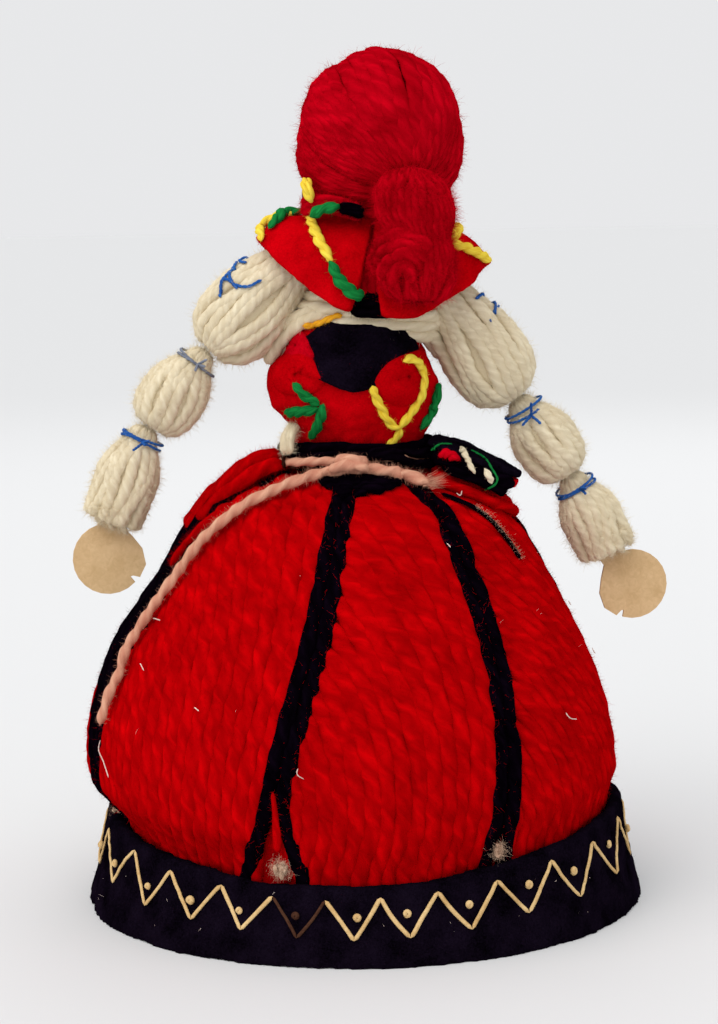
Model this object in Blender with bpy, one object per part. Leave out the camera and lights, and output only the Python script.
"""A small folk costume doll, wound and sewn in wool over a cone of card.

The doll stands on the hem of its bell skirt, on the plane z = 0. Its back faces -Y and its front
faces +Y, so its left arm is at -X and its right arm at +X. Angles round the skirt are counted
from the back, towards +X. The body above the waist leans a little, so it is modelled upright in
a frame of its own that stands on the waist. Each arm is a wool sleeve bound into three puffs, and
bends at its bindings; the head turns on the wire in the neck.
"""

import math

import bmesh
import bpy
from mathutils import Matrix, Vector

MM = 0.001

# Gaps and round counts
GAP = 0.3 * MM
ROUND_STEPS = 48
BODY_STEPS = 36
HEAD_STEPS = 24
PUFF_STEPS = 20
HOOP_STEPS = 18
FINE_STEPS = 12

# Skirt: the card foot, the cone, the wadding and the wool
WAIST_HEIGHT = 86.5 * MM
WAIST_RADIUS = 14.3 * MM
SKIRT_RADIUS = 50.8 * MM
WOOL_THICKNESS = 3.0 * MM
PANEL_CROWN = 1.0 * MM
FOOT_CARD_THICKNESS = 1.5 * MM
CONE_CARD_THICKNESS = 1.0 * MM
CONE_CLEARANCE = 0.6 * MM
CONE_TOP_RADIUS = 9.5 * MM
CONE_TOP_DROP = 5.5 * MM
BELL_STOPS_SHARES = (
    (0.0, 0.94), (0.16, 0.975), (0.23, 0.997), (0.30, 1.0), (0.44, 0.95), (0.555, 0.857),
    (0.67, 0.73), (0.786, 0.583), (0.879, 0.457), (0.936, 0.32), (0.977, 0.142), (1.0, 0.0),
)
BELL_LEVELS = 11
BELL_BULGE = 5.4 * MM
BELL_BULGE_SHARES = (
    (0.0, 0.0), (0.16, 0.25), (0.30, 0.85), (0.45, 1.0), (0.6, 0.95), (0.71, 0.58), (0.78, 0.42),
    (0.86, 0.5), (0.93, 0.62), (0.965, 0.5), (1.0, 0.0),
)
PANEL_COLUMNS = 8

# Hem band of felt and the thread sewn on it
HEM_TOP_INSET = 0.2 * MM
HEM_FOOT_SPREAD = 4.2 * MM
HEM_HEIGHT = 13.8 * MM
HEM_SIDE_RISE = 5.6 * MM
HEM_FELT_THICKNESS = 2.0 * MM
HEM_TOP_RADIUS = SKIRT_RADIUS - HEM_TOP_INSET
HEM_RADIUS = HEM_TOP_RADIUS + HEM_FOOT_SPREAD
CONE_FOOT_RADIUS = HEM_TOP_RADIUS - HEM_FELT_THICKNESS - WOOL_THICKNESS - CONE_CLEARANCE
HEM_LOW_ANGLE = math.radians(-12.0)
HEM_FLARE = 0.8
HEM_LEVELS = 3
THREAD_RADIUS = 0.38 * MM
ZIGZAG_COUNT = 26
ZIGZAG_FOOT = 5.2 * MM
ZIGZAG_TOP_DROP = 2.0 * MM
ZIGZAG_START = math.radians(-7.5)
ZIGZAG_SPREAD = math.radians(5.7)

# Black stripes between the red panels: the angle at the waist and at the hem
STRIPE_ANGLES = ((-134, -136), (-76, -80), (-13, -26), (30, 25), (88, 94), (149, 149))
STRIPE_WAIST_WIDTH = 3.6 * MM
STRIPE_HEM_WIDTH = 5.8 * MM
STRIPE_SINK = 0.4 * MM

# Apron and the cords at the waist
APRON_HALF_ANGLE = math.radians(41.0)
APRON_THICKNESS = 1.6 * MM
APRON_FOOT_GAP = 2.0 * MM
WAISTBAND_HEIGHT = 4.2 * MM
WAISTBAND_THICKNESS = 1.5 * MM
CORD_RADIUS = 1.35 * MM
WAIST_CORD_RADIUS = 0.9 * MM
APRON_STRING_ROUTE = (
    (31.0, 0.942), (24.0, 0.957), (14.0, 0.968), (3.0, 0.974), (-9.0, 0.975), (-20.0, 0.973),
    (-33.0, 0.964), (-45.0, 0.941), (-55.0, 0.895), (-62.0, 0.845), (-67.0, 0.79),
    (-70.5, 0.725), (-72.0, 0.655), (-72.5, 0.585), (-72.5, 0.51), (-72.5, 0.44),
)

# Body above the waist, in the leaning frame that stands on the waist
LEAN = math.radians(5.0)
TORSO_HEIGHT = 46.2 * MM
BODICE_FOOT = 1.4 * MM
BODICE_TOP_DROP = 18.6 * MM
BODICE_BACK_TOP = TORSO_HEIGHT - BODICE_TOP_DROP
BODICE_SIDE_DROP = 4.0 * MM
BODICE_HALF_WIDTH = 16.8 * MM
BODICE_HALF_DEPTH = 12.4 * MM
BODICE_SHIFT = -1.9 * MM
BODICE_SHIFT_SHARES = ((0.0, 0.1), (0.1, 0.15), (0.4, 1.0), (1.0, 1.0))
BODICE_FELT_THICKNESS = 1.5 * MM
BODICE_STOPS_SHARES = (
    (0.0, 0.74), (0.12, 0.77), (0.25, 0.88), (0.45, 0.99), (0.62, 1.0), (0.8, 0.88), (1.0, 0.72),
)
YOKE_THICKNESS = 1.0 * MM
YOKE_LEFT_ANGLE = math.radians(-58.0)
YOKE_RIGHT_ANGLE = math.radians(50.0)
YOKE_TOP_SHARES = ((0.0, 0.86), (0.25, 1.0), (0.5, 1.03), (0.8, 1.0), (1.0, 0.93))
YOKE_FOOT_SHARES = (
    (0.0, 0.78), (0.25, 0.56), (0.5, 0.46), (0.62, 0.50), (0.85, 0.68), (1.0, 0.86),
)
BLOUSE_TOP_DROP = 6.2 * MM
BLOUSE_TOP = TORSO_HEIGHT - BLOUSE_TOP_DROP
BLOUSE_HALF_WIDTH = 10.2 * MM
BLOUSE_HALF_DEPTH = 9.4 * MM
BLOUSE_STOPS_SHARES = ((0.0, 1.0), (0.35, 0.86), (0.7, 0.78), (1.0, 0.56))
NECK_RADIUS = 4.8 * MM
SPINE_WIRE_RADIUS = 0.8 * MM
SPINE_FOOT = -12.0 * MM
SHOULDER_WIRE_RADIUS = 0.6 * MM

# Shawl: its back and side profiles as (share of the way out, radius, height)
SHAWL_THICKNESS = 1.5 * MM
SHAWL_NECK_RADIUS = 7.4 * MM
SHAWL_BACK_RADIUS = 15.2 * MM
SHAWL_BACK_DROP = 18.0 * MM
SHAWL_SIDE_RADIUS = 22.2 * MM
SHAWL_SIDE_DROP = 6.7 * MM
SHAWL_SIDE_RISE = 0.7 * MM
SHAWL_SIDE_SHARPNESS = 4
SHAWL_RADIUS_SHARES = ((0.0, 0.0), (0.3, 0.38), (0.6, 0.74), (1.0, 1.0))
SHAWL_HEIGHT_SHARES = ((0.0, 0.0), (0.3, 0.17), (0.6, 0.45), (1.0, 1.0))
SHAWL_NOTCH_ANGLE = math.radians(-7.5)
SHAWL_NOTCH_HALF_ANGLE = math.radians(12.0)
SHAWL_SEAM_HALF_ANGLE = math.radians(1.6)
SHAWL_LEVELS = 7
SHAWL_COLUMNS = 15
PIN_RADIUS = 1.1 * MM
PIN_DROP = 14.7 * MM

# Head and kerchief, in a frame on the neck that is turned with the head
HEAD_YAW = math.radians(18.0)
HEAD_RADIUS = 15.7 * MM
HEAD_CLEARANCE = 1.4 * MM
HEAD_HEIGHT = TORSO_HEIGHT + HEAD_CLEARANCE + HEAD_RADIUS
KERCHIEF_THICKNESS = 2.5 * MM
FACE_THICKNESS = 0.9 * MM
KERCHIEF_REACH = math.radians(126.0)
FACE_REACH = math.radians(118.0)
HEAD_SQUARENESS = 3.4
TRIM_RADIUS = 0.8 * MM
SPINE_IN_HEAD = 9.0 * MM
BUN_HALF_WIDTH = 7.6 * MM
BUN_HALF_DEPTH = 6.4 * MM
BUN_TOP_DROP = 7.3 * MM
BUN_DISTANCE = 15.6 * MM
TAIL_TIE_DROP = 2.6 * MM
TAIL_FOOT_DROP = 15.2 * MM
TAIL_HALF_WIDTH = 8.0 * MM
TAIL_HALF_DEPTH = 4.6 * MM
TAIL_DISTANCE = 22.4 * MM
TAIL_TIE_DISTANCE = 19.2 * MM
TAIL_STOPS_SHARES = ((0.0, 0.35), (0.12, 0.75), (0.4, 1.0), (0.7, 0.96), (0.88, 0.7), (1.0, 0.42))
BUN_STOPS_SHARES = ((0.0, 0.42), (0.2, 0.82), (0.5, 1.0), (0.8, 0.8), (1.0, 0.35))
TIE_RADIUS = 0.5 * MM
HEAD_SWEEP_ANGLE = math.radians(50.0)
EARRING_RADIUS = 2.1 * MM
EARRING_WIRE_RADIUS = 0.3 * MM
EARRING_SIDE = 14.6 * MM
EARRING_DROP = 11.3 * MM

# Arms: lengths from pivot to pivot, puff radii and wire
UPPER_ARM_LENGTH = 27.5 * MM
FOREARM_LENGTH = 18.5 * MM
SHOULDER_SIDE = 14.6 * MM
SHOULDER_DROP = 11.4 * MM
SHOULDER_RISE = 2.5 * MM
UPPER_PUFF_RADIUS = 8.2 * MM
FORE_PUFF_RADIUS = 6.4 * MM
CUFF_PUFF_RADIUS = 5.9 * MM
SHOULDER_DOME_RADIUS = 5.0 * MM
BINDING_RADIUS = 3.0 * MM
BINDING_THREAD_RADIUS = 0.5 * MM
ARM_WIRE_RADIUS = 0.5 * MM
PUFF_STOPS_SHARES = (
    (0.0, 0.0), (0.15, 0.55), (0.35, 0.93), (0.55, 1.0), (0.8, 0.88), (0.93, 0.45), (1.0, 0.0),
)
SHOULDER_STOPS_SHARES = (
    (0.0, 0.0), (0.15, 0.35), (0.35, 0.8), (0.58, 1.0), (0.82, 0.88), (0.93, 0.45), (1.0, 0.0),
)
CUFF_STOPS_SHARES = ((0.0, 0.0), (0.18, 0.6), (0.42, 1.0), (0.8, 0.95), (1.0, 0.8))
ARM_ANGLES = {"left": (40.7, 31.8, 17.5, 0.0), "right": (40.0, 38.0, 32.0, 40.0)}
CUFF_LENGTHS = {"left": 17.0 * MM, "right": 14.5 * MM}
HAND_REACHES = {"left": 14.2 * MM, "right": 15.2 * MM}
HAND_CLEARANCE = 3.0 * MM

# Card hands
HAND_CARD_THICKNESS = 0.8 * MM
PALM_RADIUS = 6.9 * MM
WRIST_HALF_WIDTH = 2.5 * MM
WRIST_SLOT_DEPTH = 3.0 * MM
THUMB_SHARES = ((-38, 1.0), (-36, 0.80), (-31, 0.84), (-27, 1.03), (-5, 1.07), (20, 1.0), (45, 0.93))

# Pocket that hangs at the right hip
POCKET_ANGLE = math.radians(62.0)
POCKET_SLOPE = math.radians(21.5)
POCKET_LENGTH = 18.8 * MM
POCKET_HALF_WIDTH = 6.6 * MM
POUCH_START = 3.6 * MM
POUCH_THICKNESS = 2.8 * MM
FLAP_THICKNESS = 1.5 * MM
FLAP_RISE = 1.4 * MM
POCKET_OUTLINE_SHARES = (
    (0.0, 0.62), (0.12, 0.86), (0.32, 1.0), (0.55, 0.93), (0.78, 0.68), (0.93, 0.36), (1.0, 0.12),
)
POUCH_DEPTH_SHARES = ((0.0, 0.45), (0.25, 0.62), (0.6, 1.0), (1.0, 0.5))

# Colours of the wool, felt, card and metal, from the photograph
RED_WOOL = (0.60, 0.010, 0.018)
BLACK_WOOL = (0.010, 0.009, 0.014)
BLACK_FELT = (0.012, 0.010, 0.022)
CREAM_WOOL = (0.62, 0.52, 0.38)
RED_FELT = (0.66, 0.008, 0.015)
PINK_WOOL = (0.66, 0.33, 0.24)
CARD = (0.50, 0.33, 0.18)
STRAW = (0.60, 0.40, 0.19)
BLUE_THREAD = (0.03, 0.10, 0.42)
SKIN_CLOTH = (0.72, 0.43, 0.31)
YELLOW_WOOL = (0.78, 0.58, 0.07)
WHITE_WADDING = (0.74, 0.70, 0.62)
STEEL = (0.40, 0.40, 0.42)
GOLD = (0.60, 0.42, 0.16)


def clear_scene():
    for thing in list(bpy.data.objects):
        bpy.data.objects.remove(thing)


def smooth_through(stops, place):
    """The value at a place on the smooth curve through (place, value) stops, with no overshoot."""
    places = [stop[0] for stop in stops]
    values = [stop[1] for stop in stops]
    slopes = [(b - a) / (q - p) for p, q, a, b in zip(places, places[1:], values, values[1:])]
    turns = [slopes[0]]
    for before, after in zip(slopes, slopes[1:]):
        turns.append(0.0 if before * after <= 0 else 2 * before * after / (before + after))
    turns.append(slopes[-1])
    place = min(max(place, places[0]), places[-1])
    part = max(k for k in range(len(slopes)) if places[k] <= place or k == 0)
    span = places[part + 1] - places[part]
    t = (place - places[part]) / span
    start = (2 * t**3 - 3 * t**2 + 1) * values[part] + (t**3 - 2 * t**2 + t) * span * turns[part]
    end = (3 * t**2 - 2 * t**3) * values[part + 1] + (t**3 - t**2) * span * turns[part + 1]
    return start + end


def mix(a, b, share):
    return a + (b - a) * share


def shares(count):
    """Even shares from 0 to 1, both included."""
    return [k / (count - 1) for k in range(count)]


def polar(radius, angle, height):
    """A point round the Z axis, with the angle counted from the back towards +X."""
    return Vector((radius * math.sin(angle), -radius * math.cos(angle), height))


def dress(piece, colour, roughness=0.9, metallic=0.0):
    """Gives the piece its own material."""
    finish = bpy.data.materials.new(piece.name)
    finish.use_nodes = True
    shader = finish.node_tree.nodes["Principled BSDF"]
    shader.inputs["Base Color"].default_value = (*colour, 1.0)
    shader.inputs["Roughness"].default_value = roughness
    shader.inputs["Metallic"].default_value = metallic
    piece.data.materials.append(finish)
    return piece


def place(piece, parent):
    bpy.context.scene.collection.objects.link(piece)
    piece.parent = parent
    return piece


def frame(name, parent=None, location=(0, 0, 0), turn=0.0, axis="Y"):
    """An empty that carries a group of pieces, turned about one axis."""
    empty = bpy.data.objects.new(name, None)
    empty.empty_display_size = GAP
    place(empty, parent)
    empty.location = location
    empty.rotation_euler = [turn if letter == axis else 0.0 for letter in "XYZ"]
    return empty


def body(name, points, faces, parent):
    """A closed mesh with its faces turned outwards, shaded smooth but for its sharp edges."""
    mesh = bpy.data.meshes.new(name)
    mesh.from_pydata([tuple(point) for point in points], [], faces)
    shell = bmesh.new()
    shell.from_mesh(mesh)
    bmesh.ops.recalc_face_normals(shell, faces=shell.faces)
    shell.to_mesh(mesh)
    shell.free()
    mesh.shade_smooth()
    mesh.set_sharp_from_angle(angle=math.radians(50))
    return place(bpy.data.objects.new(name, mesh), parent)


def skin(name, rings, parent=None, joined=False):
    """A body through rings of points. A ring of one point is a pole, and a joined row of rings
    comes round to its first ring."""
    points = [point for ring in rings for point in ring]
    starts = [sum(len(ring) for ring in rings[:k]) for k in range(len(rings))]
    faces = []
    for k in range(len(rings) if joined else len(rings) - 1):
        near, far = rings[k], rings[(k + 1) % len(rings)]
        a, b = starts[k], starts[(k + 1) % len(rings)]
        for j in range(max(len(near), len(far))):
            i = (j + 1) % max(len(near), len(far))
            if len(near) == 1:
                faces.append((a, b + i, b + j))
            elif len(far) == 1:
                faces.append((a + j, a + i, b))
            else:
                faces.append((a + j, a + i, b + i, b + j))
    if not joined:
        for ring, start in ((rings[0], starts[0]), (rings[-1], starts[-1])):
            if len(ring) > 1:
                faces.append(tuple(range(start, start + len(ring))))
    return body(name, points, faces, parent)


def sheet(name, outer, inner, parent=None):
    """A thick sheet between two grids of points with the same rows and columns."""
    rows, columns = len(outer), len(outer[0])
    points = [point for grid in (outer, inner) for row in grid for point in row]
    far = rows * columns

    def index(row, column):
        return row * columns + column

    faces = []
    for r in range(rows - 1):
        for c in range(columns - 1):
            square = (index(r, c), index(r, c + 1), index(r + 1, c + 1), index(r + 1, c))
            faces.append(square)
            faces.append(tuple(far + k for k in reversed(square)))
    rim = [index(0, c) for c in range(columns)]
    rim += [index(r, columns - 1) for r in range(1, rows)]
    rim += [index(rows - 1, c) for c in reversed(range(columns - 1))]
    rim += [index(r, 0) for r in reversed(range(1, rows - 1))]
    for a, b in zip(rim, rim[1:] + rim[:1]):
        faces.append((b, a, far + a, far + b))
    return body(name, points, faces, parent)


def turned(name, profile, parent=None, steps=ROUND_STEPS, depth_share=1.0, shift=0.0):
    """A body turned round the Z axis from (radius, height) points. A profile that starts and
    ends on the axis is solid, and any other is a ring that comes round to its start."""
    rings = []
    for radius, height in profile:
        if radius == 0:
            rings.append([Vector((shift, 0, height))])
            continue
        angles = [2 * math.pi * k / steps for k in range(steps)]
        ring = [polar(radius, angle, height) for angle in angles]
        rings.append([Vector((p.x + shift, p.y * depth_share, p.z)) for p in ring])
    return skin(name, rings, parent, joined=profile[0][0] != 0)


def tube(name, route, radius, parent=None, joined=False):
    """A round cord or wire along the points of its route."""
    curve = bpy.data.curves.new(name, "CURVE")
    curve.dimensions = "3D"
    curve.bevel_depth = radius
    curve.bevel_resolution = 1
    curve.use_fill_caps = True
    spline = curve.splines.new("POLY")
    spline.points.add(len(route) - 1)
    for point, position in zip(spline.points, route):
        point.co = (*position, 1.0)
    spline.use_cyclic_u = joined
    return place(bpy.data.objects.new(name, curve), parent)


def hoop(name, radius, wire_radius, parent, centre, depth_share=1.0, upright=False):
    """A closed ring of round wire or thread, flat or upright."""
    rings = []
    for k in range(HOOP_STEPS):
        angle = 2 * math.pi * k / HOOP_STEPS
        along = Vector((math.cos(angle), math.sin(angle) * depth_share, 0))
        ring = []
        for j in range(6):
            turn = 2 * math.pi * j / 6
            point = along * radius + along.normalized() * (wire_radius * math.cos(turn))
            point.z += wire_radius * math.sin(turn)
            if upright:
                point = Vector((point.z, point.x, point.y))
            ring.append(point + Vector(centre))
        rings.append(ring)
    return skin(name, rings, parent, joined=True)


def cut(piece, cutter):
    """Takes the cutter's shape away from the piece."""
    cutter.hide_render = True
    cutter.display_type = "WIRE"
    modifier = piece.modifiers.new("Seat", "BOOLEAN")
    modifier.operation = "DIFFERENCE"
    modifier.object = cutter


# The surface that the skirt's wool, felt and cords are laid on


def bell_radius(angle, height):
    """The bell's radius, which bulges on the left side."""
    share = height / WAIST_HEIGHT
    bulge = BELL_BULGE * max(-math.sin(angle), 0.0) ** 2 * smooth_through(BELL_BULGE_SHARES, share)
    return mix(WAIST_RADIUS, SKIRT_RADIUS, smooth_through(BELL_STOPS_SHARES, share)) + bulge


def bell_point(angle, height, lift=0.0):
    """A point over the bell, lifted square to it."""
    step = WAIST_HEIGHT / 400
    low, high = max(height - step, 0.0), min(height + step, WAIST_HEIGHT)
    slope = Vector((bell_radius(angle, high) - bell_radius(angle, low), high - low)).normalized()
    return polar(bell_radius(angle, height) + slope.y * lift, angle, height - slope.x * lift)


def bell_height(angle, radius):
    """The height at which the bell has this radius, above its widest place."""
    low, high = WAIST_HEIGHT / 2, WAIST_HEIGHT
    for _ in range(30):
        middle = (low + high) / 2
        low, high = (middle, high) if bell_radius(angle, middle) > radius else (low, middle)
    return low


def hem_height(angle):
    return HEM_HEIGHT + HEM_SIDE_RISE * math.sin(angle - HEM_LOW_ANGLE) ** 2


def hem_radius(angle, height, depth=0.0):
    share = (height / hem_height(angle)) ** HEM_FLARE
    return mix(HEM_RADIUS, HEM_TOP_RADIUS, share) - depth


def hem_point(angle, height, depth=0.0):
    return polar(hem_radius(angle, height, depth), angle, height)


def wool_rows(angle_at, lift, crown=None):
    """Rows of points up the skirt's wool, from the foot card to the waist. angle_at gives the
    columns' angles for a radius and a share of the height; lift moves the rows off the bell."""
    rows = []
    floor = FOOT_CARD_THICKNESS + GAP
    under_felt = HEM_FELT_THICKNESS + GAP
    for share in (0.0, 1.0):
        row = []
        for angle in angle_at(HEM_TOP_RADIUS, 0.0):
            height = mix(floor, hem_height(angle) + GAP, share)
            row.append(hem_point(angle, height, under_felt + max(-lift - PANEL_CROWN, 0.0)))
        rows.append(row)
    for share in shares(BELL_LEVELS)[1:]:
        row = []
        radius = bell_radius(0.0, mix(HEM_HEIGHT, WAIST_HEIGHT, share))
        angles = angle_at(radius + min(lift, 0.0), share)
        for column, angle in enumerate(angles):
            height = mix(hem_height(angle), WAIST_HEIGHT, share)
            bulge = crown(column / (len(angles) - 1), share) if crown else 0.0
            row.append(bell_point(angle, height, lift + bulge))
        rows.append(row)
    return rows


def stripe_angle(stripe, share):
    waist, hem = STRIPE_ANGLES[stripe % len(STRIPE_ANGLES)]
    turn = 2 * math.pi * (stripe // len(STRIPE_ANGLES))
    return math.radians(mix(hem, waist, share)) + turn


def stripe_half_width(share):
    return mix(STRIPE_HEM_WIDTH, STRIPE_WAIST_WIDTH, share) / 2


def panel_crown(column, share):
    """How far a panel swells over its edges, at a share of its width and of its height."""
    across = max(1 - (2 * column - 1) ** 2, 0.0)
    return PANEL_CROWN * across * max(math.sin(math.pi * min(share + 0.15, 1.0)), 0.0) ** 0.5


def wool_lift(angle, height):
    """How far the wool lies off the bell there, less than zero under it."""
    share = (height - hem_height(angle)) / (WAIST_HEIGHT - hem_height(angle))
    for stripe in range(-1, len(STRIPE_ANGLES)):
        start, end = stripe_angle(stripe, share), stripe_angle(stripe + 1, share)
        if start <= angle <= end:
            return panel_crown((angle - start) / (end - start), share) - PANEL_CROWN
    return 0.0


def make_skirt_wool():
    """Six red panels and the six black stripes between them."""
    inner_lift = -PANEL_CROWN - WOOL_THICKNESS
    for stripe in range(len(STRIPE_ANGLES)):

        def stripe_columns(radius, share, stripe=stripe):
            half = math.asin(stripe_half_width(share) / radius)
            return [stripe_angle(stripe, share) - half, stripe_angle(stripe, share) + half]

        def panel_columns(radius, share, stripe=stripe):
            half = math.asin((stripe_half_width(share) + GAP) / radius)
            start = stripe_angle(stripe, share) + half
            end = stripe_angle(stripe + 1, share) - half
            return [mix(start, end, column) for column in shares(PANEL_COLUMNS)]

        outer = wool_rows(stripe_columns, -PANEL_CROWN - STRIPE_SINK + GAP)
        inner = wool_rows(stripe_columns, inner_lift)
        dress(sheet(f"skirt_stripe_{stripe + 1}", outer, inner), BLACK_WOOL)
        outer = wool_rows(panel_columns, -PANEL_CROWN, panel_crown)
        inner = wool_rows(panel_columns, inner_lift)
        dress(sheet(f"skirt_panel_{stripe + 1}", outer, inner), RED_WOOL)


def cone_radius(height):
    share = (height - FOOT_CARD_THICKNESS - GAP) / (WAIST_HEIGHT - CONE_TOP_DROP - FOOT_CARD_THICKNESS - GAP)
    return mix(CONE_FOOT_RADIUS, CONE_TOP_RADIUS, share)


def make_skirt_inside():
    """The card disc underfoot, the card cone and the wadding that rounds it out to the bell."""
    radius = hem_radius(HEM_LOW_ANGLE, FOOT_CARD_THICKNESS, HEM_FELT_THICKNESS + GAP)
    profile = [(0, 0), (radius, 0), (radius, FOOT_CARD_THICKNESS), (0, FOOT_CARD_THICKNESS)]
    dress(turned("foot_card", profile), CARD)

    floor = FOOT_CARD_THICKNESS + GAP
    top = WAIST_HEIGHT - CONE_TOP_DROP
    cone = [(cone_radius(height), height) for height in (floor, top)]
    inside = [(radius - CONE_CARD_THICKNESS, height) for radius, height in reversed(cone)]
    dress(turned("skirt_cone", cone + inside), CARD)

    def round_columns(radius, share):
        return [2 * math.pi * k / ROUND_STEPS for k in range(ROUND_STEPS)]

    outer = wool_rows(round_columns, -PANEL_CROWN - WOOL_THICKNESS - 1.5 * GAP)
    seat = CONE_CARD_THICKNESS + 2 * GAP
    outer = [row for row in outer
             if all(point.z < top and point.xy.length > cone_radius(point.z) + seat for point in row)]
    rows = []
    for row in (outer[-1], outer[0]):
        rows.append([])
        for point in row:
            radius = cone_radius(point.z) + CONE_CARD_THICKNESS + GAP
            rows[-1].append(Vector((*(point.xy.normalized() * radius), point.z)))
    dress(skin("skirt_wadding", outer + rows, joined=True), WHITE_WADDING)


def make_hem():
    """The felt band round the hem and the straw thread sewn on it in a zigzag."""
    rings = []
    for k in range(ROUND_STEPS):
        angle = 2 * math.pi * k / ROUND_STEPS
        heights = [share * hem_height(angle) for share in shares(HEM_LEVELS)]
        outer = [hem_point(angle, height) for height in heights]
        inner = [hem_point(angle, height, HEM_FELT_THICKNESS) for height in reversed(heights)]
        rings.append(outer + inner)
    dress(skin("hem_band", rings, joined=True), BLACK_FELT)

    route = []
    lift = THREAD_RADIUS + GAP
    for k in range(ZIGZAG_COUNT):
        step = 2 * math.pi / ZIGZAG_COUNT
        for share in (0.0, 0.5):
            angle = ZIGZAG_START + (k + share) * step
            angle -= ZIGZAG_SPREAD * math.sin(2 * (angle - HEM_LOW_ANGLE))
            foot = ZIGZAG_FOOT + (hem_height(angle) - HEM_HEIGHT) / 2
            top = hem_height(angle) - ZIGZAG_TOP_DROP
            route.append(hem_point(angle, top if share else foot, -lift))
    dress(tube("hem_zigzag", route, THREAD_RADIUS, joined=True), STRAW)


def make_apron():
    """The apron over the front panel, and the two cords at the waist."""
    columns = [math.pi + mix(-APRON_HALF_ANGLE, APRON_HALF_ANGLE, share) for share in shares(11)]
    band_reach = max(waist_point(angle, waist_cord_lift()).xy.length for angle in columns)
    top = bell_height(math.pi, band_reach + WAIST_CORD_RADIUS + GAP + APRON_THICKNESS)
    grids = []
    for lift in (GAP + APRON_THICKNESS, GAP):
        grid = []
        for share in shares(BELL_LEVELS):
            row = []
            for angle in columns:
                foot = hem_height(angle) + APRON_FOOT_GAP
                height = mix(foot, top, share)
                row.append(bell_point(angle, height, lift))
            grid.append(row)
        grids.append(grid)
    dress(sheet("apron", *grids), RED_FELT)

    route = []
    for k in range(BODY_STEPS):
        point = waist_point(2 * math.pi * k / BODY_STEPS, waist_cord_lift())
        point.z = bell_height(math.atan2(point.x, -point.y), point.xy.length)
        point.z += waist_cord_lift() - PANEL_CROWN
        route.append(point)
    dress(tube("apron_band", route, WAIST_CORD_RADIUS, joined=True), PINK_WOOL)

    route = []
    stops = [(k / (len(APRON_STRING_ROUTE) - 1), *stop) for k, stop in enumerate(APRON_STRING_ROUTE)]
    angles = [(place_share, angle) for place_share, angle, height in stops]
    heights = [(place_share, height) for place_share, angle, height in stops]
    for share in shares(2 * len(stops)):
        angle = math.radians(smooth_through(angles, share))
        height = smooth_through(heights, share) * WAIST_HEIGHT
        turn = CORD_RADIUS / bell_radius(angle, height)
        seat = max(wool_lift(angle + way * turn, height + up * CORD_RADIUS)
                   for way in (-1, 0, 1) for up in (-1, 0, 1))
        route.append(bell_point(angle, height, seat + CORD_RADIUS + GAP))
    dress(tube("apron_string", route, CORD_RADIUS), PINK_WOOL)


# The body above the waist


def bodice_half_sizes(share, depth=0.0):
    size = smooth_through(BODICE_STOPS_SHARES, share)
    return BODICE_HALF_WIDTH * size - depth, BODICE_HALF_DEPTH * size - depth


def bodice_shift(share):
    return BODICE_SHIFT * smooth_through(BODICE_SHIFT_SHARES, share)


def bodice_top(angle):
    return BODICE_BACK_TOP - BODICE_SIDE_DROP * math.sin(angle) ** 2


def bodice_point(angle, share, depth=0.0):
    """A point on the bodice at a share of its height, which is less at the sides than behind."""
    half_width, half_depth = bodice_half_sizes(share, depth)
    height = mix(BODICE_FOOT, bodice_top(angle), share)
    x = half_width * math.sin(angle) + bodice_shift(share)
    return Vector((x, -half_depth * math.cos(angle), height))


def waistband_share():
    """The share of the bodice's height at the waistband's top, on the side it leans to."""
    top = WAISTBAND_HEIGHT + GAP - PANEL_CROWN + BODICE_HALF_WIDTH * math.sin(LEAN)
    return (top - BODICE_FOOT) / (BODICE_BACK_TOP - BODICE_FOOT)


def waistband_half_sizes():
    half_width, half_depth = bodice_half_sizes(waistband_share(), -GAP)
    slip = WAISTBAND_HEIGHT * math.sin(LEAN)
    return half_width + slip, half_depth + slip


def make_torso(upper):
    """The wadded core, the felt bodice round it and the black yoke sewn on its back."""
    bore = SPINE_WIRE_RADIUS + GAP
    levels = shares(7)
    rings = []
    for angle in [2 * math.pi * k / BODY_STEPS for k in range(BODY_STEPS)]:
        outer = [bodice_point(angle, share) for share in levels]
        inner = [bodice_point(angle, share, BODICE_FELT_THICKNESS) for share in reversed(levels)]
        rings.append(outer + inner)
    dress(skin("bodice", rings, upper, joined=True), RED_FELT)

    depth = BODICE_FELT_THICKNESS + GAP
    rings = []
    for angle in [2 * math.pi * k / HEAD_STEPS for k in range(HEAD_STEPS)]:
        reach = (BODICE_BACK_TOP - BODICE_SIDE_DROP - BODICE_FOOT) / (bodice_top(angle) - BODICE_FOOT)
        outer = [bodice_point(angle, share * reach, depth) for share in levels]
        inner = [polar(bore, angle, point.z) for point in (outer[-1], outer[0])]
        rings.append(outer + inner)
    dress(skin("torso_core", rings, upper, joined=True), WHITE_WADDING)

    grids = []
    for lift in (GAP + YOKE_THICKNESS, GAP):
        grid = []
        for rise in shares(6):
            row = []
            for column in shares(13):
                angle = mix(YOKE_LEFT_ANGLE, YOKE_RIGHT_ANGLE, column)
                foot = smooth_through(YOKE_FOOT_SHARES, column)
                top = smooth_through(YOKE_TOP_SHARES, column)
                row.append(bodice_point(angle, mix(foot, min(top, 1.0), rise), -lift))
            grid.append(row)
        grids.append(grid)
    dress(sheet("bodice_yoke", *grids, upper), BLACK_FELT)


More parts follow.
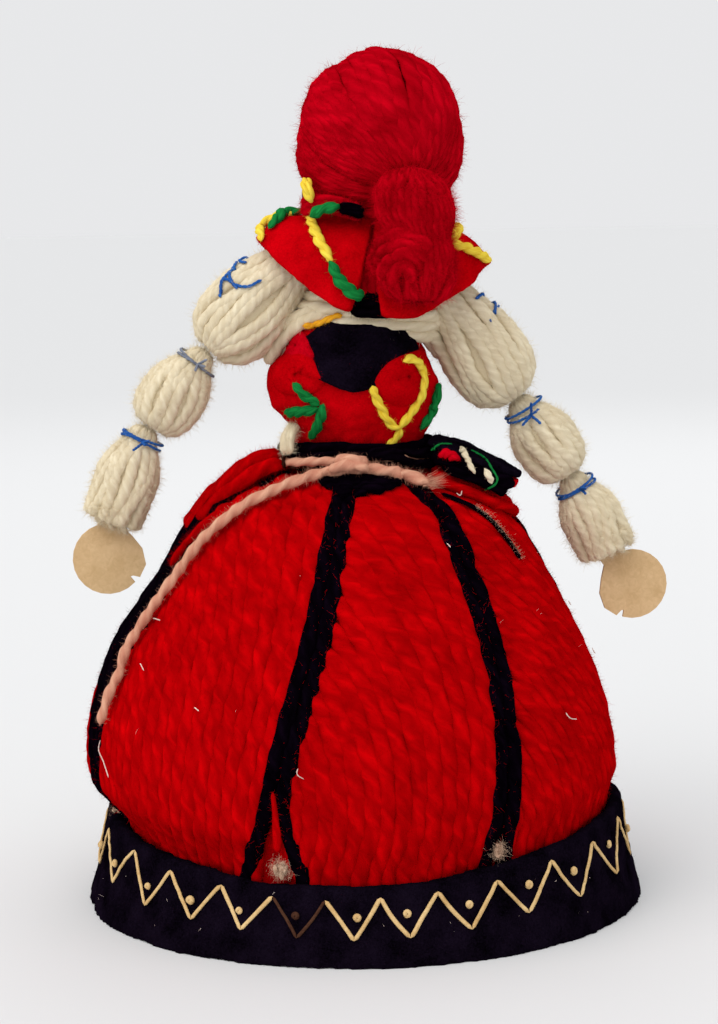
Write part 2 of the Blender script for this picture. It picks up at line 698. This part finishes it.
def waist_point(angle, lift=0.0):
    """A point outside the waistband, at its foot."""
    half_width, half_depth = waistband_half_sizes()
    reach = WAISTBAND_THICKNESS + lift
    x = (half_width + reach) * math.sin(angle) + bodice_shift(waistband_share())
    return Vector((x, -(half_depth + reach) * math.cos(angle), WAIST_HEIGHT - PANEL_CROWN + GAP))


def waist_cord_lift():
    return WAIST_CORD_RADIUS + 2 * GAP


def make_waistband():
    rings = []
    rise = Vector((0, 0, WAISTBAND_HEIGHT))
    for angle in [2 * math.pi * k / BODY_STEPS for k in range(BODY_STEPS)]:
        inner, outer = waist_point(angle, -WAISTBAND_THICKNESS), waist_point(angle)
        rings.append([inner, outer, outer + rise, inner + rise])
    dress(skin("waistband", rings, joined=True), BLACK_FELT)


def rod(name, start, end, radius, parent):
    """A straight round wire between two points that lie in one plane along X."""
    along = (end - start).normalized()
    up = Vector((-along.z, 0, along.x))
    side = along.cross(up)
    rings = []
    for centre in (start, end):
        turns = [2 * math.pi * k / FINE_STEPS for k in range(FINE_STEPS)]
        rings.append([centre + (up * math.cos(turn) + side * math.sin(turn)) * radius for turn in turns])
    return skin(name, rings, parent)


def shoulder_pivot(sign):
    return Vector((sign * SHOULDER_SIDE, 0, TORSO_HEIGHT - SHOULDER_DROP - sign * SHOULDER_RISE))


def make_shoulders(upper):
    """The cream wool over the shoulders, the neck and the wires that run through them."""
    bore = SPINE_WIRE_RADIUS + GAP
    foot = BODICE_BACK_TOP + GAP
    profile = [(BLOUSE_HALF_WIDTH * smooth_through(BLOUSE_STOPS_SHARES, share), mix(foot, BLOUSE_TOP, share))
               for share in shares(6)]
    profile += [(bore, BLOUSE_TOP), (bore, foot)]
    share = BLOUSE_HALF_DEPTH / BLOUSE_HALF_WIDTH
    blouse = dress(turned("blouse", profile, upper, HEAD_STEPS, share), CREAM_WOOL)

    forward = Vector((0, SPINE_WIRE_RADIUS + SHOULDER_WIRE_RADIUS + GAP, 0))
    left, right = shoulder_pivot(-1) + forward, shoulder_pivot(1) + forward
    along = (right - left).normalized()
    seat = SHOULDER_DOME_RADIUS + GAP
    inset = along * math.sqrt(seat**2 - forward.length**2)
    wire = rod("shoulder_wire", left + inset, right - inset, SHOULDER_WIRE_RADIUS, upper)
    dress(wire, STEEL, 0.4, 1.0)
    cut(blouse, rod("shoulder_hole", left, right, SHOULDER_WIRE_RADIUS + GAP, upper))

    foot = BLOUSE_TOP + GAP
    top = HEAD_HEIGHT - HEAD_RADIUS + KERCHIEF_THICKNESS + FACE_THICKNESS
    profile = [(NECK_RADIUS, foot), (NECK_RADIUS, top), (bore, top), (bore, foot)]
    dress(turned("neck", profile, upper, HEAD_STEPS), SKIN_CLOTH)

    top = HEAD_HEIGHT - HEAD_RADIUS + KERCHIEF_THICKNESS + SPINE_IN_HEAD
    profile = [(0, SPINE_FOOT), (SPINE_WIRE_RADIUS, SPINE_FOOT), (SPINE_WIRE_RADIUS, top), (0, top)]
    dress(turned("spine_wire", profile, upper, FINE_STEPS), STEEL, 0.4, 1.0)


def shawl_point(angle, share, lift=0.0):
    """A point on the shawl, from the neck out to its edge, lifted square to it."""

    def on_sheet(way):
        side = math.sin(angle) ** SHAWL_SIDE_SHARPNESS
        reach = mix(SHAWL_BACK_RADIUS, SHAWL_SIDE_RADIUS, side)
        drop = mix(SHAWL_BACK_DROP, SHAWL_SIDE_DROP, side) + SHAWL_SIDE_RISE * math.sin(angle)
        radius = mix(SHAWL_NECK_RADIUS, reach, smooth_through(SHAWL_RADIUS_SHARES, way))
        return Vector((radius, TORSO_HEIGHT - drop * smooth_through(SHAWL_HEIGHT_SHARES, way)))

    step = 0.01
    along = (on_sheet(min(share + step, 1.0)) - on_sheet(max(share - step, 0.0))).normalized()
    point = on_sheet(share) + Vector((-along.y, along.x)) * lift
    return polar(point.x, angle, point.y)


def make_shawl(upper):
    """Two felt petals that meet behind at a notch and in front at the chest."""
    for side, sign in (("left", -1), ("right", 1)):
        grids = []
        for lift in (SHAWL_THICKNESS, 0.0):
            grid = []
            for share in shares(SHAWL_LEVELS):
                opening = mix(SHAWL_SEAM_HALF_ANGLE, SHAWL_NOTCH_HALF_ANGLE, share**3)
                start = SHAWL_NOTCH_ANGLE + sign * opening
                end = sign * (math.pi - opening)
                grid.append([shawl_point(mix(start, end, column), share, lift)
                             for column in shares(SHAWL_COLUMNS)])
            grids.append(grid)
        dress(sheet(f"shawl_{side}", *grids, upper), RED_FELT)

    height = TORSO_HEIGHT - PIN_DROP
    way = (height - BODICE_BACK_TOP) / (BLOUSE_TOP - BODICE_BACK_TOP)
    seat = BLOUSE_HALF_DEPTH * smooth_through(BLOUSE_STOPS_SHARES, way) + GAP
    profile = [(PIN_RADIUS * math.sin(math.pi * share), height - PIN_RADIUS * math.cos(math.pi * share))
               for share in shares(7)]
    profile[0] = (0, height - PIN_RADIUS)
    profile[-1] = (0, height + PIN_RADIUS)
    pin = turned("shawl_pin", profile, None, FINE_STEPS)
    carrier = frame("pin_frame", upper, polar(seat + PIN_RADIUS, SHAWL_NOTCH_ANGLE, 0))
    pin.parent = carrier
    dress(pin, GOLD, 0.4, 1.0)


# Head and kerchief


def head_point(from_back, round_axis, radius):
    """A point of the head's shape: a ball that is squarer below its middle."""
    way = Vector((math.sin(from_back) * math.sin(round_axis), -math.cos(from_back),
                  math.sin(from_back) * math.cos(round_axis)))
    if way.z < 0:
        level = math.hypot(way.x, way.y)
        power = HEAD_SQUARENESS
        way /= (level**power + abs(way.z) ** power) ** (1 / power)
    return way * radius + Vector((0, 0, HEAD_HEIGHT))


def head_bowl(name, outer, inner, start, reach, parent):
    """A thick bowl over the head, from the pole at angle start round to its rim at reach."""

    def ring(angle, radius):
        if angle == start:
            return [head_point(angle, 0, radius)]
        return [head_point(angle, 2 * math.pi * k / HEAD_STEPS, radius) for k in range(HEAD_STEPS)]

    angles = [mix(start, reach, share) for share in shares(8)]
    rings = [ring(angle, outer) for angle in angles] + [ring(angle, inner) for angle in reversed(angles)]
    return skin(name, rings, parent)


def head_ball(name, radius, parent):
    """The head's whole shape at a radius, closed at both poles."""
    rings = []
    for share in shares(11):
        angle = math.pi * share
        if share in (0.0, 1.0):
            rings.append([head_point(angle, 0, radius)])
        else:
            turns = [2 * math.pi * k / HEAD_STEPS for k in range(HEAD_STEPS)]
            rings.append([head_point(angle, turn, radius) for turn in turns])
    return skin(name, rings, parent)


def make_head(head):
    """The wadded ball, the cloth over the face and the wool kerchief over the rest."""
    inside = HEAD_RADIUS - KERCHIEF_THICKNESS - GAP
    face = head_bowl("face_cloth", inside, inside - FACE_THICKNESS, math.pi, math.pi - FACE_REACH, head)
    dress(face, SKIN_CLOTH)
    core = dress(head_ball("head_core", inside - FACE_THICKNESS - GAP, head), WHITE_WADDING)
    kerchief = head_bowl("kerchief", HEAD_RADIUS, HEAD_RADIUS - KERCHIEF_THICKNESS, 0.0, KERCHIEF_REACH, head)
    dress(kerchief, RED_WOOL)

    neck_top = HEAD_HEIGHT - HEAD_RADIUS + KERCHIEF_THICKNESS + FACE_THICKNESS
    radius = NECK_RADIUS + GAP
    foot = HEAD_HEIGHT - HEAD_RADIUS - KERCHIEF_THICKNESS
    top = neck_top + 1.5 * GAP
    neck_hole = turned("neck_hole", [(0, foot), (radius, foot), (radius, top), (0, top)], head, HEAD_STEPS)
    cut(face, neck_hole)
    cut(kerchief, neck_hole)
    radius = SPINE_WIRE_RADIUS + GAP
    top = neck_top - FACE_THICKNESS + SPINE_IN_HEAD + GAP
    wire_hole = turned("wire_hole", [(0, foot), (radius, foot), (radius, top), (0, top)], head, FINE_STEPS)
    cut(core, wire_hole)

    reach = KERCHIEF_REACH + (TRIM_RADIUS + 2 * GAP) / HEAD_RADIUS
    middle = HEAD_RADIUS - KERCHIEF_THICKNESS / 2
    route = [head_point(reach, 2 * math.pi * k / BODY_STEPS, middle) for k in range(BODY_STEPS)]
    dress(tube("kerchief_trim", route, TRIM_RADIUS, head, joined=True), YELLOW_WOOL)


def stack(name, stops, half_width, half_depth, foot, top, distances, parent):
    """A soft body of oval levels. stops give its size up the height, and distances how far
    behind the neck its foot and its top lie."""
    rings = []
    for share in shares(9):
        size = smooth_through(stops, share)
        behind = Vector((0, -mix(*distances, share**0.5), mix(foot, top, share)))
        ring = []
        for k in range(HEAD_STEPS):
            oval = polar(half_width * size, 2 * math.pi * k / HEAD_STEPS, 0)
            oval.y *= half_depth / half_width
            ring.append(behind + oval)
        rings.append(ring)
    return skin(name, rings, parent)


def make_kerchief_tail(head):
    """The gathered end of the kerchief: a bun behind the neck and a tail tied below it."""
    lift = SHAWL_THICKNESS + GAP
    edge = -HEAD_SWEEP_ANGLE
    swept = [shawl_point(edge, share, lift) for share in shares(6)]
    swept += [shawl_point(edge * share, 1.0, lift) for share in (0.75, 0.5, 0.25, 0.0)]
    profile = [(point.xy.length, point.z) for point in swept]
    tie_height = TORSO_HEIGHT - TAIL_TIE_DROP
    foot = TORSO_HEIGHT - TAIL_FOOT_DROP
    floor = foot - TAIL_HALF_DEPTH
    profile = [(0, profile[0][1])] + profile + [(profile[-1][0], floor), (0, floor)]
    sweep = turned("shawl_sweep", profile, head)
    head_seat = head_ball("head_seat", HEAD_RADIUS + GAP, head)

    tail_top = tie_height + 2 * TIE_RADIUS
    distances = (TAIL_DISTANCE, TAIL_TIE_DISTANCE)
    tail = stack("kerchief_tail", TAIL_STOPS_SHARES, TAIL_HALF_WIDTH, TAIL_HALF_DEPTH,
                 foot, tail_top, distances, head)
    dress(tail, RED_WOOL)
    cut(tail, sweep)
    distances = (TAIL_TIE_DISTANCE, BUN_DISTANCE)
    bun = stack("kerchief_bun", BUN_STOPS_SHARES, BUN_HALF_WIDTH, BUN_HALF_DEPTH,
                tail_top + GAP, HEAD_HEIGHT - BUN_TOP_DROP, distances, head)
    dress(bun, RED_WOOL)
    cut(bun, sweep)
    cut(bun, head_seat)

    share = (tie_height - TIE_RADIUS - foot) / (tail_top - foot)
    grip = smooth_through(TAIL_STOPS_SHARES, share)
    radius = TAIL_HALF_WIDTH * grip + GAP + TIE_RADIUS
    depth = (TAIL_HALF_DEPTH * grip + GAP + TIE_RADIUS) / radius
    centre = (0, -TAIL_TIE_DISTANCE, tie_height)
    dress(hoop("kerchief_tie", radius, TIE_RADIUS, head, centre, depth), RED_WOOL)


def make_earrings(head):
    """Wire hoops that hang free at the kerchief's edge."""
    for side, sign in (("left", -1), ("right", 1)):
        ear = (sign * EARRING_SIDE, 0, HEAD_HEIGHT - EARRING_DROP)
        plumb = -math.atan(math.tan(LEAN) * math.cos(HEAD_YAW))
        carrier = frame(f"earring_{side}_pivot", head, ear, plumb)
        ring = hoop(f"earring_{side}", EARRING_RADIUS, EARRING_WIRE_RADIUS, carrier,
                    (0, 0, -EARRING_RADIUS), upright=True)
        dress(ring, GOLD, 0.35, 1.0)


# Arms


def sleeve(name, length, dome, puff, stops, foot_radius, parent):
    """A wool sleeve round its wire: a domed top centred on its pivot, a puff and a bound foot."""
    bore = ARM_WIRE_RADIUS + GAP
    start = math.asin(bore / dome)
    profile = [(dome * math.sin(angle), dome * math.cos(angle))
               for angle in [mix(start, math.pi / 2, share) for share in shares(4)]]
    for share in shares(9)[1:]:
        radius = mix(dome, foot_radius, share)
        radius += (puff - radius) * smooth_through(stops, share)
        profile.append((radius, -BINDING_THREAD_RADIUS - (length - BINDING_THREAD_RADIUS) * share))
    profile.append((bore, -length))
    return dress(turned(name, profile, parent, PUFF_STEPS), CREAM_WOOL)


def arm_wire(name, top, foot, parent):
    profile = [(0, foot), (ARM_WIRE_RADIUS, foot), (ARM_WIRE_RADIUS, top), (0, top)]
    return dress(turned(name, profile, parent, FINE_STEPS), STEEL, 0.4, 1.0)


def binding(name, parent):
    """The blue thread tied round the top of a puff."""
    radius = BINDING_RADIUS + GAP + BINDING_THREAD_RADIUS
    return dress(hoop(name, radius, BINDING_THREAD_RADIUS, parent, (0, 0, 0)), BLUE_THREAD)


def make_hand(side, sign, wrist):
    """A flat hand of card with a thumb on its inner side and a stub that slots into the cuff."""
    centre = -(HAND_REACHES[side] - PALM_RADIUS)
    outline = [Vector((-WRIST_HALF_WIDTH, WRIST_SLOT_DEPTH - GAP))]
    edge = math.degrees(math.asin(WRIST_HALF_WIDTH / PALM_RADIUS))
    for share in shares(15):
        angle = math.radians(mix(90 + edge, 360 + THUMB_SHARES[0][0], share))
        outline.append(Vector((math.cos(angle), math.sin(angle))) * PALM_RADIUS + Vector((0, centre)))
    for degrees, reach in THUMB_SHARES[1:] + ((90 - edge, 1.0),):
        angle = math.radians(degrees)
        radius = PALM_RADIUS * reach
        outline.append(Vector((math.cos(angle), math.sin(angle))) * radius + Vector((0, centre)))
    outline.append(Vector((WRIST_HALF_WIDTH, WRIST_SLOT_DEPTH - GAP)))
    rings = []
    for depth in (-HAND_CARD_THICKNESS / 2, HAND_CARD_THICKNESS / 2):
        rings.append([Vector((-sign * point.x, depth, point.y)) for point in outline])
    dress(skin(f"hand_{side}", rings, wrist), CARD)

    half_width = WRIST_HALF_WIDTH + GAP
    half_depth = HAND_CARD_THICKNESS / 2 + GAP
    rings = []
    for height in (-PALM_RADIUS, WRIST_SLOT_DEPTH):
        corners = ((-1, -1), (1, -1), (1, 1), (-1, 1))
        rings.append([Vector((half_width * x, half_depth * y, height)) for x, y in corners])
    return skin(f"wrist_slot_{side}", rings, wrist)


def arm_angles(side, sign):
    """The angles from plumb down the arm, all opened alike until the hand clears the skirt."""
    angles = [math.radians(angle) for angle in ARM_ANGLES[side]]
    lengths = (UPPER_ARM_LENGTH, FOREARM_LENGTH, CUFF_LENGTHS[side], HAND_REACHES[side] - PALM_RADIUS)
    for opening in [math.radians(degrees) for degrees in range(45)]:
        palm = shoulder_pivot(sign)
        for angle, length in zip(angles, lengths):
            palm += Vector((sign * math.sin(angle + opening), 0, -math.cos(angle + opening))) * length
        palm = Matrix.Rotation(LEAN, 3, "Y") @ palm + Vector((0, 0, WAIST_HEIGHT))
        skirt = bell_radius(sign * math.pi / 2, palm.z)
        if abs(palm.x) > skirt + PALM_RADIUS + HAND_CLEARANCE:
            break
    return [angle + opening for angle in angles]


def make_arm(side, sign, upper):
    """One arm: three bound puffs of wool over wire, and a card hand. sign is +1 on the right."""
    angles = arm_angles(side, sign)
    upper_arm = frame(f"shoulder_{side}", upper, shoulder_pivot(sign), -sign * angles[0])
    forearm = frame(f"elbow_{side}", upper_arm, (0, 0, -UPPER_ARM_LENGTH), -sign * (angles[1] - angles[0]))
    cuff = frame(f"wrist_{side}", forearm, (0, 0, -FOREARM_LENGTH), -sign * (angles[2] - angles[1]))
    cuff_length = CUFF_LENGTHS[side]
    hand = frame(f"hand_{side}_seat", cuff, (0, 0, -cuff_length), -sign * (angles[3] - angles[2]))

    for name, length, dome, puff, stops, parent in (
        ("upper", UPPER_ARM_LENGTH, SHOULDER_DOME_RADIUS, UPPER_PUFF_RADIUS, SHOULDER_STOPS_SHARES, upper_arm),
        ("forearm", FOREARM_LENGTH, BINDING_RADIUS, FORE_PUFF_RADIUS, PUFF_STOPS_SHARES, forearm),
    ):
        foot = length - BINDING_RADIUS - GAP
        sleeve(f"{name}_sleeve_{side}", foot, dome, puff, stops, BINDING_RADIUS, parent)
        arm_wire(f"{name}_wire_{side}", dome - GAP, GAP - foot, parent)
    binding(f"elbow_binding_{side}", forearm)
    binding(f"wrist_binding_{side}", cuff)

    end_radius = CUFF_PUFF_RADIUS * CUFF_STOPS_SHARES[-1][1]
    cuff_sleeve = sleeve(f"cuff_sleeve_{side}", cuff_length, BINDING_RADIUS, CUFF_PUFF_RADIUS,
                         CUFF_STOPS_SHARES, end_radius, cuff)
    end = -(cuff_length - WRIST_SLOT_DEPTH - WRIST_HALF_WIDTH)
    arm_wire(f"cuff_wire_{side}", BINDING_RADIUS - GAP, end, cuff)
    cut(cuff_sleeve, make_hand(side, sign, hand))


# Pocket


def make_pocket():
    """The pocket at the right hip: a black felt flap over a red pouch, hung from the waistband."""
    hang = waist_point(POCKET_ANGLE, 3 * GAP)
    hang.z = bell_height(POCKET_ANGLE, hang.xy.length) + waist_cord_lift() + WAIST_CORD_RADIUS + GAP + FLAP_RISE
    turn = math.atan2(hang.x, -hang.y)
    pivot = frame("pocket_pivot", None, hang, turn, "Z")
    tilt = frame("pocket_slope", pivot, (0, 0, 0), POCKET_SLOPE, "X")

    def grid(start, top, depth_stops):
        upper, lower = [], []
        for row in shares(9):
            way = mix(start, POCKET_LENGTH, row)
            half = POCKET_HALF_WIDTH * smooth_through(POCKET_OUTLINE_SHARES, way / POCKET_LENGTH)
            columns = [half * mix(-1, 1, column) for column in shares(5)]
            depth = smooth_through(depth_stops, row)
            upper.append([Vector((x, -way, top)) for x in columns])
            lower.append([Vector((x, -way, top - depth)) for x in columns])
        return upper, lower

    flat = ((0.0, FLAP_THICKNESS), (1.0, FLAP_THICKNESS))
    dress(sheet("pocket_flap", *grid(0.0, FLAP_THICKNESS / 2, flat), tilt), BLACK_FELT)
    deep = [(share, depth * POUCH_THICKNESS) for share, depth in POUCH_DEPTH_SHARES]
    dress(sheet("pocket_pouch", *grid(POUCH_START, -FLAP_THICKNESS / 2 - GAP, deep), tilt), RED_FELT)


def main():
    clear_scene()
    upper = frame("upper_body", None, (0, 0, WAIST_HEIGHT), LEAN)
    head = frame("head_turn", upper, (0, 0, 0), HEAD_YAW, "Z")
    make_skirt_inside()
    make_skirt_wool()
    make_hem()
    make_apron()
    make_waistband()
    make_torso(upper)
    make_shoulders(upper)
    make_shawl(upper)
    make_head(head)
    make_kerchief_tail(head)
    make_earrings(head)
    make_arm("left", -1, upper)
    make_arm("right", 1, upper)
    make_pocket()

    bpy.context.view_layer.update()
    for empty in [thing for thing in bpy.data.objects if thing.type == "EMPTY"]:
        place_mm = [round(value / MM, 3) for value in empty.matrix_world.translation]
        axes = [[round(value, 4) for value in empty.matrix_world.col[k].xyz] for k in range(3)]
        print(f"{empty.name}: at {place_mm} mm, X {axes[0]}, Y {axes[1]}, Z {axes[2]}")


main()
